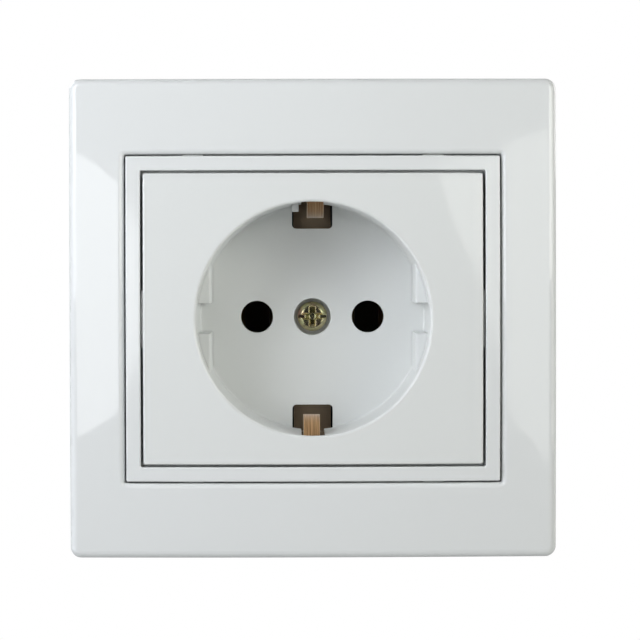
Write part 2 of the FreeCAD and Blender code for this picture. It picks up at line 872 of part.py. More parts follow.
def all_pieces():
    """Return every piece by the name of its node."""
    right_claw = claw()
    right_screw = claw_screw()
    return {
        "frame": frame(),
        "inset_ring": inset_ring(),
        "socket_cover": socket_cover(),
        "cover_screw": cover_screw(),
        "cover_nut": cover_nut(),
        "support_plate": support_plate(),
        "plate_rivets": plate_rivets(),
        "base_body": base_body(),
        "line_contact": pin_contact(1),
        "neutral_contact": pin_contact(-1),
        "earth_strap": earth_strap(),
        "earth_link": earth_link(),
        "earth_rivet": earth_rivet(),
        "line_terminal_screw": terminal_screw(pin_place, -terminal_place),
        "neutral_terminal_screw": terminal_screw(-pin_place, -terminal_place),
        "earth_terminal_screw": terminal_screw(0, terminal_place),
        "line_clamp_washer": clamp_washer(pin_place, -terminal_place),
        "neutral_clamp_washer": clamp_washer(-pin_place, -terminal_place),
        "earth_clamp_washer": clamp_washer(0, terminal_place),
        "claw_right": right_claw,
        "claw_left": mirrored_in_x(right_claw),
        "claw_screw_right": right_screw,
        "claw_screw_left": mirrored_in_x(right_screw),
    }


def stood_upright(shape):
    """Return a piece turned from lying on its back to standing, its front towards -Y."""
    return shape.rotated(vector(0, 0, 0), vector(1, 0, 0), 90)


os.makedirs("parts", exist_ok=True)
for name, piece in all_pieces().items():
    stood_upright(piece).exportStep(os.path.join("parts", name + ".step"))
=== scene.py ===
"""Type F wall socket: finishes, screw threads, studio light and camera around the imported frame."""

import logging
import math
from dataclasses import dataclass
from enum import Enum
from typing import Any

import bmesh
import bpy
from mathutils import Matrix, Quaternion, Vector


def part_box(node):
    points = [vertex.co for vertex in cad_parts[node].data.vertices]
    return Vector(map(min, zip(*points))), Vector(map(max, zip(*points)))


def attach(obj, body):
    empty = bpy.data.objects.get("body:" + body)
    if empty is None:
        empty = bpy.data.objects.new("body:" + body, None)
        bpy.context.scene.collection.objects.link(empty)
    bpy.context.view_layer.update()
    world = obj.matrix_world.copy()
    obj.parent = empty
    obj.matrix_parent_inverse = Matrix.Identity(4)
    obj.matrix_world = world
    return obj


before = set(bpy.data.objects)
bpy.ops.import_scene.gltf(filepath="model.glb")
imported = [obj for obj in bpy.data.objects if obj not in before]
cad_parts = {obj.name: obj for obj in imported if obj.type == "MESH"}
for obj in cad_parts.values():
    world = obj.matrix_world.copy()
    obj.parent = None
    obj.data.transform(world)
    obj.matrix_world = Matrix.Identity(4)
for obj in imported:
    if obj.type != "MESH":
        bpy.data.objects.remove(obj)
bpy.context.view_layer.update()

log = logging.getLogger("wall_socket")

MM = 0.001

# Top level of an sRGB channel, and its curve: a straight foot up to the knee, then a power
SRGB_TOP = 255
SRGB_KNEE = 0.04045
SRGB_SLOPE = 12.92
SRGB_OFFSET = 0.055
SRGB_POWER = 2.4
WHITE = "#FFFFFF"

# Sockets of the mix node, which go by number: two colours or two values in, and one out
COLOUR_A = 6
COLOUR_B = 7
COLOUR_OUT = 2
VALUE_A = 2
VALUE_B = 3
VALUE_OUT = 0
# Width of one ring of the wave texture at a scale of 1
WAVE_WIDTH = math.pi / 10
# Middle of a piece in generated coordinates
PIECE_MIDDLE = (0.5, 0.5, 0.5)
# What is left of a place when its depth along the well's axis is dropped
ACROSS_WELL = (1.0, 0.0, 1.0)

# Layers of detail in a noise, from soft patches to ragged blotches
SOFT_DETAIL = 2.0
GRAIN_DETAIL = 3.0
CLOUD_DETAIL = 4.0
BLOTCH_DETAIL = 5.0
# How much the finer layers of stains and of the darkening with depth count
STAIN_RAGGEDNESS = 0.65
DEPTH_DARKENING_RAGGEDNESS = 0.6
# Chatter of the turning tool
RING_DISTORTION = 0.6
# Rays that look for walls and for edges near a spot; small screw heads need more of them
SEAM_SAMPLES = 8
EDGE_SAMPLES = 6
HEAD_EDGE_SAMPLES = 10

# Shares of open sky between which a seam goes from full painted shade to none
SEAM_SHUT = 0.12
SEAM_OPEN = 0.34
# The same for the painted shade in the corners of the well
CORNER_SHADE_SHUT = 0.6
CORNER_SHADE_OPEN = 0.95
# Forward share of the surface direction below which a wall counts as a side
SIDE_TURN = 0.35
# Stretches of a noise that a pattern draws from
RAMP_LOW = 0.3
RAMP_HIGH = 0.7
STAIN_LOW = 0.55
STAIN_HIGH = 0.8
LINE_LOW = 0.35
LINE_HIGH = 0.7
# Agreement of a rounded and a true normal where an edge counts as worn bright
EDGE_TURN = 0.9
# Full say of the large faces in the smoothed normals
FACE_WEIGHT = 100

Colour = tuple[float, float, float, float]
Material = bpy.types.Material
Tree = bpy.types.NodeTree
Socket = bpy.types.NodeSocket


class Side(Enum):
    """The two sides of the socket, as seen from the front."""

    LEFT = -1
    RIGHT = 1

    @property
    def word(self) -> str:
        """The side's name as the nodes and bodies spell it."""
        return self.name.lower()


class Axis(Enum):
    """The axes of the part's frame, by their place in a vector."""

    X = 0
    Y = 1
    Z = 2


def linear_colour(code: str) -> Colour:
    """Turn an sRGB hex colour into the linear one that the shaders take.

    Args:
        code: Six hex digits after a hash sign.

    Returns:
        Linear red, green and blue, and full alpha.
    """
    channels = []
    for level in bytes.fromhex(code[1:]):
        value = level / SRGB_TOP
        if value <= SRGB_KNEE:
            channels.append(value / SRGB_SLOPE)
        else:
            channels.append(((value + SRGB_OFFSET) / (1 + SRGB_OFFSET)) ** SRGB_POWER)
    return channels[0], channels[1], channels[2], 1.0


def per_metre(size_mm: float) -> float:
    """The texture scale whose pattern repeats about every size_mm."""
    return 1 / (size_mm * MM)


def add_node(
    tree: Tree,
    kind: str,
    settings: dict[str, Any] | None = None,
    inputs: dict[str | int, Any] | None = None,
) -> bpy.types.Node:
    """Add one node with its settings, and fill or link its inputs.

    Args:
        tree: The node tree that takes the node.
        kind: Blender's name of the node type.
        settings: Properties of the node by name.
        inputs: Values or output sockets, by the input's name or number.

    Returns:
        The new node.
    """
    node = tree.nodes.new(kind)
    for name, value in (settings or {}).items():
        setattr(node, name, value)
    for key, value in (inputs or {}).items():
        if isinstance(value, bpy.types.NodeSocket):
            tree.links.new(value, node.inputs[key])
        else:
            node.inputs[key].default_value = value
    return node


def new_material(name: str) -> Material:
    """Make a material with an empty node tree.

    Args:
        name: The material's name.

    Returns:
        The new material.
    """
    material = bpy.data.materials.new(name)
    material.use_nodes = True
    material.node_tree.nodes.clear()
    return material


@dataclass(frozen=True)
class MouldedPlastic:
    """Injection-moulded plastic: even colour, the gloss of the mould, slow waves where it shrank."""

    name: str
    colour: str
    flow_colour: str
    # Colour of the painted shade that darkens the narrow seams between pieces
    seam_shade_colour: str
    roughness: float
    roughness_spread: float
    ior: float
    flow_mm: float
    wave_mm: float
    wave_height_mm: float
    # The mould's grain is finer than a pixel, so it is drawn as coarse as it needs to show
    grain_mm: float
    grain_height_mm: float
    edge_mm: float
    wave_detail: float = 1.0
    seam_mm: float = 0.5
    # The part that the mould's core shapes, within a radius about the well's axis
    core_roughness: float = 0.5
    core_radius_mm: float = 0.0
    core_fade_mm: float = 0.4
    # Share of painted shade in the corners of the well
    core_corner_shade: float = 0.0
    # Least roughness of the walls that face sideways, which drag along the mould
    side_roughness: float = 0.0

    def material(self) -> Material:
        """Build the finish's material.

        Returns:
            The new material.
        """
        material = new_material(self.name)
        tree = material.node_tree
        coordinates = add_node(tree, "ShaderNodeTexCoord")
        place = coordinates.outputs["Object"]
        core_share = self.core_share(tree, place)
        grain = add_node(
            tree, "ShaderNodeTexNoise", {},
            {"Vector": place, "Scale": per_metre(self.grain_mm), "Detail": GRAIN_DETAIL},
        ).outputs["Fac"]
        shader = add_node(
            tree, "ShaderNodeBsdfPrincipled", {},
            {
                "Base Color": self.colouring(tree, place, core_share),
                "Roughness": self.gloss(tree, coordinates.outputs["Normal"], grain, core_share),
                "IOR": self.ior,
                "Normal": self.relief(tree, place, grain),
            },
        )
        add_node(tree, "ShaderNodeOutputMaterial", {}, {"Surface": shader.outputs["BSDF"]})
        return material

    def core_share(self, tree: Tree, place: Socket) -> Socket:
        """Tell what the mould's core shaped by the distance from the well's axis.

        Args:
            tree: The material's node tree.
            place: The place on the piece.

        Returns:
            1 within the core's radius, falling to 0 at it.
        """
        across = add_node(
            tree, "ShaderNodeVectorMath", {"operation": "MULTIPLY"}, {0: place, 1: ACROSS_WELL},
        )
        from_axis = add_node(
            tree, "ShaderNodeVectorMath", {"operation": "LENGTH"}, {0: across.outputs["Vector"]},
        )
        share = add_node(
            tree, "ShaderNodeMapRange", {},
            {
                "Value": from_axis.outputs["Value"],
                "From Min": self.core_radius_mm * MM,
                "From Max": (self.core_radius_mm - self.core_fade_mm) * MM,
            },
        )
        return share.outputs["Result"]

    def colouring(self, tree: Tree, place: Socket, core_share: Socket) -> Socket:
        """Colour the plastic, with painted shade in its seams and in the corners of the well.

        Args:
            tree: The material's node tree.
            place: The place on the piece.
            core_share: Where the mould's core shaped it.

        Returns:
            The base colour.
        """
        flow = add_node(
            tree, "ShaderNodeTexNoise", {},
            {"Vector": place, "Scale": per_metre(self.flow_mm), "Detail": SOFT_DETAIL},
        )
        clean = add_node(
            tree, "ShaderNodeMix", {"data_type": "RGBA"},
            {
                "Factor": flow.outputs["Fac"],
                COLOUR_A: linear_colour(self.colour), COLOUR_B: linear_colour(self.flow_colour),
            },
        )
        # Painted shade: where a spot sees little open sky, in a seam or a corner of the well, its colour
        # darkens
        sky = add_node(
            tree, "ShaderNodeAmbientOcclusion", {"samples": SEAM_SAMPLES}, {"Distance": self.seam_mm * MM},
        ).outputs["AO"]
        seam_unshaded = add_node(
            tree, "ShaderNodeMapRange", {},
            {"Value": sky, "From Min": SEAM_SHUT, "From Max": SEAM_OPEN},
        )
        corner_unshaded = add_node(
            tree, "ShaderNodeMapRange", {},
            {"Value": sky, "From Min": CORNER_SHADE_SHUT, "From Max": CORNER_SHADE_OPEN, "To Min": 1.0 - self.core_corner_shade},
        )
        unshaded_share = add_node(
            tree, "ShaderNodeMix", {"data_type": "FLOAT"},
            {
                "Factor": core_share,
                VALUE_A: seam_unshaded.outputs["Result"], VALUE_B: corner_unshaded.outputs["Result"],
            },
        )
        seam_shaded = add_node(
            tree, "ShaderNodeMix", {"data_type": "RGBA"},
            {
                "Factor": unshaded_share.outputs[VALUE_OUT],
                COLOUR_A: linear_colour(self.seam_shade_colour), COLOUR_B: clean.outputs[COLOUR_OUT],
            },
        )
        return seam_shaded.outputs[COLOUR_OUT]

    def gloss(self, tree: Tree, normal: Socket, grain: Socket, core_share: Socket) -> Socket:
        """Polish the face, and leave the core's part and the side walls duller.

        Args:
            tree: The material's node tree.
            normal: The surface direction in the part's frame.
            grain: The mould's grain.
            core_share: Where the mould's core shaped it.

        Returns:
            The roughness.
        """
        face = add_node(
            tree, "ShaderNodeMapRange", {},
            {
                "Value": grain,
                "To Min": self.roughness - self.roughness_spread,
                "To Max": self.roughness + self.roughness_spread,
            },
        )
        cored = add_node(
            tree, "ShaderNodeMix", {"data_type": "FLOAT"},
            {"Factor": core_share, VALUE_A: face.outputs["Result"], VALUE_B: self.core_roughness},
        )
        facing = add_node(tree, "ShaderNodeSeparateXYZ", {}, {"Vector": normal})
        frontal = add_node(
            tree, "ShaderNodeMath", {"operation": "ABSOLUTE"}, {0: facing.outputs["Y"]},
        )
        side = add_node(
            tree, "ShaderNodeMapRange", {},
            {
                "Value": frontal.outputs["Value"], "From Min": SIDE_TURN, "From Max": 0.0,
                "To Max": self.side_roughness,
            },
        )
        duller = add_node(
            tree, "ShaderNodeMath", {"operation": "MAXIMUM"},
            {0: cored.outputs[VALUE_OUT], 1: side.outputs["Result"]},
        )
        return duller.outputs["Value"]

    def relief(self, tree: Tree, place: Socket, grain: Socket) -> Socket:
        """Round the edges, and lay the grain and the waves of shrinkage over the surface.

        Args:
            tree: The material's node tree.
            place: The place on the piece.
            grain: The mould's grain.

        Returns:
            The normal.
        """
        wave = add_node(
            tree, "ShaderNodeTexNoise", {},
            {"Vector": place, "Scale": per_metre(self.wave_mm), "Detail": self.wave_detail},
        )
        edge = add_node(
            tree, "ShaderNodeBevel", {"samples": EDGE_SAMPLES}, {"Radius": self.edge_mm * MM},
        )
        grained = add_node(
            tree, "ShaderNodeBump", {},
            {
                "Strength": 1.0, "Distance": self.grain_height_mm * MM,
                "Height": grain, "Normal": edge.outputs["Normal"],
            },
        )
        waved = add_node(
            tree, "ShaderNodeBump", {},
            {
                "Strength": 1.0, "Distance": self.wave_height_mm * MM,
                "Height": wave.outputs["Fac"], "Normal": grained.outputs["Normal"],
            },
        )
        return waved.outputs["Normal"]


@dataclass(frozen=True)
class TurnedSteel:
    """Turned and plated steel: rings from the tool under a plating whose colour drifts."""

    name: str
    colours: tuple[str, ...]
    stain_colour: str
    roughness: float
    roughness_spread: float
    cloud_mm: float
    stain_mm: float
    # Width of the head, and of the tool's rings on it, which are drawn wider than real ones to show
    head_mm: float
    ring_mm: float
    ring_height_mm: float
    pit_mm: float
    pit_height_mm: float
    edge_mm: float

    def material(self) -> Material:
        """Build the finish's material.

        Returns:
            The new material.
        """
        material = new_material(self.name)
        tree = material.node_tree
        coordinates = add_node(tree, "ShaderNodeTexCoord")
        place = coordinates.outputs["Object"]
        stain = add_node(
            tree, "ShaderNodeTexNoise", {},
            {
                "Vector": place, "Scale": per_metre(self.stain_mm),
                "Detail": BLOTCH_DETAIL, "Roughness": STAIN_RAGGEDNESS,
            },
        ).outputs["Fac"]
        gloss = add_node(
            tree, "ShaderNodeMapRange", {},
            {
                "Value": stain,
                "To Min": self.roughness - self.roughness_spread,
                "To Max": self.roughness + self.roughness_spread,
            },
        )
        shader = add_node(
            tree, "ShaderNodeBsdfPrincipled", {},
            {
                "Base Color": self.colouring(tree, place, stain),
                "Metallic": 1.0,
                "Roughness": gloss.outputs["Result"],
                "Normal": self.relief(tree, place, coordinates.outputs["Generated"]),
            },
        )
        add_node(tree, "ShaderNodeOutputMaterial", {}, {"Surface": shader.outputs["BSDF"]})
        return material

    def colouring(self, tree: Tree, place: Socket, stain: Socket) -> Socket:
        """Let the plating drift through its colours, and lay the stains over it.

        Args:
            tree: The material's node tree.
            place: The place on the piece.
            stain: The noise of the stains.

        Returns:
            The base colour.
        """
        cloud = add_node(
            tree, "ShaderNodeTexNoise", {},
            {"Vector": place, "Scale": per_metre(self.cloud_mm), "Detail": GRAIN_DETAIL},
        )
        drift = add_node(tree, "ShaderNodeValToRGB", {}, {"Fac": cloud.outputs["Fac"]})
        stops = drift.color_ramp.elements
        for stop, colour in enumerate(self.colours):
            position = RAMP_LOW + (RAMP_HIGH - RAMP_LOW) * stop / (len(self.colours) - 1)
            if stop < len(stops):
                stops[stop].position = position
            else:
                stops.new(position)
            stops[stop].color = linear_colour(colour)
        stain_share = add_node(
            tree, "ShaderNodeMapRange", {},
            {"Value": stain, "From Min": STAIN_LOW, "From Max": STAIN_HIGH},
        )
        stained = add_node(
            tree, "ShaderNodeMix", {"data_type": "RGBA"},
            {
                "Factor": stain_share.outputs["Result"],
                COLOUR_A: drift.outputs["Color"], COLOUR_B: linear_colour(self.stain_colour),
            },
        )
        return stained.outputs[COLOUR_OUT]

    def relief(self, tree: Tree, place: Socket, generated: Socket) -> Socket:
        """Round the edges, and cut rings about the piece's middle and pits into the surface.

        Args:
            tree: The material's node tree.
            place: The place on the piece.
            generated: The place as shares of the piece's box.

        Returns:
            The normal.
        """
        from_axis = add_node(
            tree, "ShaderNodeVectorMath", {"operation": "SUBTRACT"}, {0: generated, 1: PIECE_MIDDLE},
        )
        ring = add_node(
            tree, "ShaderNodeTexWave", {"wave_type": "RINGS", "rings_direction": "Y"},
            {
                "Vector": from_axis.outputs["Vector"], "Scale": WAVE_WIDTH * self.head_mm / self.ring_mm,
                "Distortion": RING_DISTORTION, "Detail": SOFT_DETAIL,
            },
        )
        pit = add_node(
            tree, "ShaderNodeTexNoise", {},
            {"Vector": place, "Scale": per_metre(self.pit_mm), "Detail": SOFT_DETAIL},
        )
        edge = add_node(
            tree, "ShaderNodeBevel", {"samples": HEAD_EDGE_SAMPLES}, {"Radius": self.edge_mm * MM},
        )
        ringed = add_node(
            tree, "ShaderNodeBump", {},
            {
                "Strength": 1.0, "Distance": self.ring_height_mm * MM,
                "Height": ring.outputs["Fac"], "Normal": edge.outputs["Normal"],
            },
        )
        pitted = add_node(
            tree, "ShaderNodeBump", {},
            {
                "Strength": 1.0, "Distance": self.pit_height_mm * MM,
                "Height": pit.outputs["Fac"], "Normal": ringed.outputs["Normal"],
            },
        )
        return pitted.outputs["Normal"]


@dataclass(frozen=True)
class RolledStrip:
    """Stamped sheet metal: lines from the rolls, brighter cut edges, darker and duller with depth, and an
    upper end that can take painted shade.
    """

    name: str
    colour: str
    line_colour: str
    dull_colour: str
    edge_colour: str
    roughness: float
    roughness_spread: float
    # Lines from the rolls, drawn wider than real ones to show
    line_axis: Axis
    line_mm: float
    line_length_mm: float
    line_height_mm: float
    # Darkening with depth, which grows from one depth to the other: tarnish, and on the earth strap also
    # painted shade
    dull_mm: float
    dull_from_mm: float
    dull_to_mm: float
    edge_mm: float
    metallic: float = 1.0
    dull_metallic: float = 1.0
    # Painted shade above the upper height, which fades in from the same height below the axis
    upper_shade: float = 1.0
    upper_mm: float = 10.0

    def material(self) -> Material:
        """Build the finish's material.

        Returns:
            The new material.
        """
        material = new_material(self.name)
        tree = material.node_tree
        place = add_node(tree, "ShaderNodeTexCoord").outputs["Object"]
        line = self.lines(tree, place)
        cloud = add_node(
            tree, "ShaderNodeTexNoise", {},
            {
                "Vector": place, "Scale": per_metre(self.dull_mm),
                "Detail": CLOUD_DETAIL, "Roughness": DEPTH_DARKENING_RAGGEDNESS,
            },
        ).outputs["Fac"]
        dull_share = self.dull_share(tree, place, cloud)
        edge = add_node(
            tree, "ShaderNodeBevel", {"samples": EDGE_SAMPLES}, {"Radius": self.edge_mm * MM},
        ).outputs["Normal"]
        lined = self.lined_colour(tree, place, line)
        metal_share = add_node(
            tree, "ShaderNodeMapRange", {},
            {"Value": dull_share, "To Min": self.metallic, "To Max": self.dull_metallic},
        )
        gloss = add_node(
            tree, "ShaderNodeMapRange", {},
            {
                "Value": cloud,
                "To Min": self.roughness - self.roughness_spread,
                "To Max": self.roughness + self.roughness_spread,
            },
        )
        rolled = add_node(
            tree, "ShaderNodeBump", {},
            {"Strength": 1.0, "Distance": self.line_height_mm * MM, "Height": line, "Normal": edge},
        )
        shader = add_node(
            tree, "ShaderNodeBsdfPrincipled", {},
            {
                "Base Color": self.worn_colour(tree, lined, dull_share, edge),
                "Metallic": metal_share.outputs["Result"],
                "Roughness": gloss.outputs["Result"],
                "Normal": rolled.outputs["Normal"],
            },
        )
        add_node(tree, "ShaderNodeOutputMaterial", {}, {"Surface": shader.outputs["BSDF"]})
        return material

    def lines(self, tree: Tree, place: Socket) -> Socket:
        """Draw a noise out along the strip.

        Args:
            tree: The material's node tree.
            place: The place on the piece.

        Returns:
            The noise of the roll lines.
        """
        spread = [per_metre(self.line_length_mm)] * len(Axis)
        spread[self.line_axis.value] = per_metre(self.line_mm)
        along = add_node(
            tree, "ShaderNodeVectorMath", {"operation": "MULTIPLY"}, {0: place, 1: spread},
        )
        line = add_node(
            tree, "ShaderNodeTexNoise", {},
            {"Vector": along.outputs["Vector"], "Scale": 1.0, "Detail": GRAIN_DETAIL},
        )
        return line.outputs["Fac"]

    def dull_share(self, tree: Tree, place: Socket, cloud: Socket) -> Socket:
        """Let the metal darken and dull with depth, in clouds.

        Args:
            tree: The material's node tree.
            place: The place on the piece.
            cloud: The noise of the tarnish.

        Returns:
            The share of darkening.
        """
        # On the earth strap this darkening with depth is partly painted shade.
        along = add_node(tree, "ShaderNodeSeparateXYZ", {}, {"Vector": place})
        deep = add_node(
            tree, "ShaderNodeMapRange", {},
            {
                "Value": along.outputs["Y"],
                "From Min": self.dull_from_mm * MM, "From Max": self.dull_to_mm * MM,
            },
        ).outputs["Result"]
        share = add_node(
            tree, "ShaderNodeMath", {"operation": "MULTIPLY_ADD", "use_clamp": True},
            {0: deep, 1: cloud, 2: deep},
        )
        return share.outputs["Value"]

    def lined_colour(self, tree: Tree, place: Socket, line: Socket) -> Socket:
        """Colour the metal with its roll lines, and paint shade over its upper end.

        Args:
            tree: The material's node tree.
            place: The place on the piece.
            line: The noise of the roll lines.

        Returns:
            The colour of clean metal, with painted shade over its upper end.
        """
        line_share = add_node(
            tree, "ShaderNodeMapRange", {},
            {"Value": line, "From Min": LINE_LOW, "From Max": LINE_HIGH},
        )
        lined = add_node(
            tree, "ShaderNodeMix", {"data_type": "RGBA"},
            {
                "Factor": line_share.outputs["Result"],
                COLOUR_A: linear_colour(self.colour), COLOUR_B: linear_colour(self.line_colour),
            },
        )
        # Painted shade: the upper end of the strip is darkened by the upper shade
        along = add_node(tree, "ShaderNodeSeparateXYZ", {}, {"Vector": place})
        shade = add_node(
            tree, "ShaderNodeMapRange", {},
            {
                "Value": along.outputs["Z"],
                "From Min": -self.upper_mm * MM, "From Max": self.upper_mm * MM,
                "To Min": 1.0, "To Max": self.upper_shade,
            },
        )
        shaded = add_node(
            tree, "ShaderNodeVectorMath", {"operation": "SCALE"},
            {"Vector": lined.outputs[COLOUR_OUT], "Scale": shade.outputs["Result"]},
        )
        return shaded.outputs["Vector"]

    def worn_colour(self, tree: Tree, lined: Socket, dull_share: Socket, edge: Socket) -> Socket:
        """Lay the darkening with depth over the clean metal, and brighten the cut edges.

        Args:
            tree: The material's node tree.
            lined: The colour of clean metal, with painted shade over its upper end.
            dull_share: The share of darkening.
            edge: The normal with rounded edges.

        Returns:
            The base colour.
        """
        darkened = add_node(
            tree, "ShaderNodeMix", {"data_type": "RGBA"},
            {"Factor": dull_share, COLOUR_A: lined, COLOUR_B: linear_colour(self.dull_colour)},
        )
        flat = add_node(tree, "ShaderNodeNewGeometry").outputs["Normal"]
        agreement = add_node(
            tree, "ShaderNodeVectorMath", {"operation": "DOT_PRODUCT"}, {0: edge, 1: flat},
        )
        edge_share = add_node(
            tree, "ShaderNodeMapRange", {},
            {"Value": agreement.outputs["Value"], "From Min": 1.0, "From Max": EDGE_TURN},
        )
        worn = add_node(
            tree, "ShaderNodeMix", {"data_type": "RGBA"},
            {
                "Factor": edge_share.outputs["Result"],
                COLOUR_A: darkened.outputs[COLOUR_OUT], COLOUR_B: linear_colour(self.edge_colour),
            },
        )
        return worn.outputs[COLOUR_OUT]


@dataclass(frozen=True)
class GalvanisedSheet:
    """Hot-dip galvanised sheet steel: zinc crystals that each catch the light in their own way."""

    name: str
    colour: str
    dark_crystal: str
    roughness: float
    roughness_spread: float
    crystal_mm: float
    # How far the rims of the crystals branch into each other
    feather_mm: float
    grain_mm: float
    grain_height_mm: float
    edge_mm: float

    def material(self) -> Material:
        """Build the finish's material.

        Returns:
            The new material.
        """
        material = new_material(self.name)
        tree = material.node_tree
        place = add_node(tree, "ShaderNodeTexCoord").outputs["Object"]
        grain = add_node(
            tree, "ShaderNodeTexNoise", {},
            {"Vector": place, "Scale": per_metre(self.grain_mm), "Detail": CLOUD_DETAIL},
        )
        feathered = add_node(
            tree, "ShaderNodeVectorMath", {"operation": "MULTIPLY_ADD"},
            {0: grain.outputs["Color"], 1: [self.feather_mm * MM] * len(Axis), 2: place},
        )
        crystal = add_node(
            tree, "ShaderNodeTexVoronoi", {},
            {"Vector": feathered.outputs["Vector"], "Scale": per_metre(self.crystal_mm)},
        )
        shade = add_node(tree, "ShaderNodeSeparateColor", {}, {"Color": crystal.outputs["Color"]})
        colour = add_node(
            tree, "ShaderNodeMix", {"data_type": "RGBA"},
            {
                "Factor": shade.outputs["Red"],
                COLOUR_A: linear_colour(self.colour), COLOUR_B: linear_colour(self.dark_crystal),
            },
        )
        gloss = add_node(
            tree, "ShaderNodeMapRange", {},
            {
                "Value": shade.outputs["Green"],
                "To Min": self.roughness - self.roughness_spread,
                "To Max": self.roughness + self.roughness_spread,
            },
        )
        edge = add_node(
            tree, "ShaderNodeBevel", {"samples": EDGE_SAMPLES}, {"Radius": self.edge_mm * MM},
        )
        grained = add_node(
            tree, "ShaderNodeBump", {},
            {
                "Strength": 1.0, "Distance": self.grain_height_mm * MM,
                "Height": grain.outputs["Fac"], "Normal": edge.outputs["Normal"],
            },
        )
        shader = add_node(
            tree, "ShaderNodeBsdfPrincipled", {},
            {
                "Base Color": colour.outputs[COLOUR_OUT], "Metallic": 1.0,
                "Roughness": gloss.outputs["Result"], "Normal": grained.outputs["Normal"],
            },
        )
        add_node(tree, "ShaderNodeOutputMaterial", {}, {"Surface": shader.outputs["BSDF"]})
        return material


@dataclass(frozen=True)
class FloorPaint:
    """Matt paint that scatters light like any other and shows to the camera in one even tone."""

    name: str
    colour: str
    tone: str
    roughness: float

    def material(self) -> Material:
        """Build the finish's material.

        Returns:
            The new material.
        """
        material = new_material(self.name)
        tree = material.node_tree
        paint = add_node(
            tree, "ShaderNodeBsdfPrincipled", {},
            {"Base Color": linear_colour(self.colour), "Roughness": self.roughness},
        )
        even = add_node(
            tree, "ShaderNodeEmission", {}, {"Color": linear_colour(self.tone), "Strength": 1.0},
        )
        seen = add_node(tree, "ShaderNodeLightPath")
        mixed = add_node(
            tree, "ShaderNodeMixShader", {},
            {0: seen.outputs["Is Camera Ray"], 1: paint.outputs["BSDF"], 2: even.outputs["Emission"]},
        )
        add_node(tree, "ShaderNodeOutputMaterial", {}, {"Surface": mixed.outputs["Shader"]})
        return material


Finish = MouldedPlastic | TurnedSteel | RolledStrip | GalvanisedSheet | FloorPaint

# Polished mould: gloss enough to mirror a lamp's edge, which shrinkage makes a little ragged.
FRAME_ABS = MouldedPlastic(
    name="gloss_moulded_abs", colour="#E7E9E9", flow_colour="#E4E6E6", seam_shade_colour="#2A2724",
    roughness=0.03, roughness_spread=0.01, ior=1.53, flow_mm=30.0, wave_mm=9.0, wave_height_mm=0.012,
    grain_mm=0.6, grain_height_mm=0.0003, edge_mm=0.15, wave_detail=3.0, side_roughness=0.5,
)
# The same plastic from a smaller mould: a little softer in its gloss, with lower waves of shrinkage.
RING_ABS = MouldedPlastic(
    name="gloss_moulded_ring_abs", colour="#E7E9E9", flow_colour="#E4E6E6", seam_shade_colour="#2A2724",
    roughness=0.06, roughness_spread=0.015, ior=1.53, flow_mm=25.0, wave_mm=6.0, wave_height_mm=0.004,
    grain_mm=0.6, grain_height_mm=0.0003, edge_mm=0.1,
)
# The face comes from a polished mould half, the well from a spark-eroded core: gloss outside, satin inside,
# with painted shade in the well's corners.
COVER_PLASTIC = MouldedPlastic(
    name="gloss_moulded_cover_plastic", colour="#E6E8E7", flow_colour="#E3E5E4", seam_shade_colour="#2A2724",
    roughness=0.035, roughness_spread=0.01, ior=1.55, flow_mm=25.0, wave_mm=10.0, wave_height_mm=0.006,
    grain_mm=0.5, grain_height_mm=0.0001, edge_mm=0.15,
    core_roughness=0.75, core_radius_mm=19.8, core_corner_shade=0.14,
)
# Mineral-filled moulding: matt, nearly black, with a fine speckle of the filler.
BASE_PLASTIC = MouldedPlastic(
    name="matt_moulded_base_plastic", colour="#3E3F40", flow_colour="#353637", seam_shade_colour="#2A2A2A",
    roughness=0.5, roughness_spread=0.08, ior=1.55, flow_mm=6.0, wave_mm=8.0, wave_height_mm=0.01,
    grain_mm=0.4, grain_height_mm=0.006, edge_mm=0.3,
)
# Yellow chromate over zinc: gold that drifts to olive and to a rosy brown.
YELLOW_ZINC = TurnedSteel(
    name="yellow_chromated_zinc", colours=("#C4A090", "#E2D4AE", "#DEDEB0", "#B8B28A"),
    stain_colour="#6A5F48", roughness=0.16, roughness_spread=0.05, cloud_mm=2.2, stain_mm=0.7,
    head_mm=5.1, ring_mm=0.306, ring_height_mm=0.004, pit_mm=0.3, pit_height_mm=0.006, edge_mm=0.2,
)
# Blue-white passivated zinc: bright, slightly cold, with small dull spots.
BRIGHT_ZINC = TurnedSteel(
    name="bright_passivated_zinc", colours=("#BFC4C9", "#D6DADE", "#CBD1D9", "#B4B9BE"),
    stain_colour="#85898D", roughness=0.3, roughness_spread=0.08, cloud_mm=2.5, stain_mm=0.8,
    head_mm=6.2, ring_mm=0.372, ring_height_mm=0.01, pit_mm=0.25, pit_height_mm=0.008, edge_mm=0.12,
)
# Plain steel, headed in a press: grey with brownish spots, and smooth where a turned head has rings.
RIVET_STEEL = TurnedSteel(
    name="plain_rivet_steel", colours=("#AFAFAD", "#C9C9C8", "#BDBBB7"),
    stain_colour="#7C776F", roughness=0.33, roughness_spread=0.07, cloud_mm=1.5, stain_mm=0.5,
    head_mm=3.8, ring_mm=1.9, ring_height_mm=0.0, pit_mm=0.2, pit_height_mm=0.01, edge_mm=0.15,
)
# Stamped steel under thin zinc: grey, lined by the rolls, bright where the press sheared it.
CLAW_ZINC = RolledStrip(
    name="zinc_plated_stamped_steel", colour="#BEC2C6", line_colour="#A5A9AD", dull_colour="#8D9094",
    edge_colour="#D8DBDE", roughness=0.34, roughness_spread=0.08, line_axis=Axis.Z, line_mm=0.35,
    line_length_mm=15.0, line_height_mm=0.008, dull_mm=3.0, dull_from_mm=-40.0, dull_to_mm=60.0, edge_mm=0.2,
)
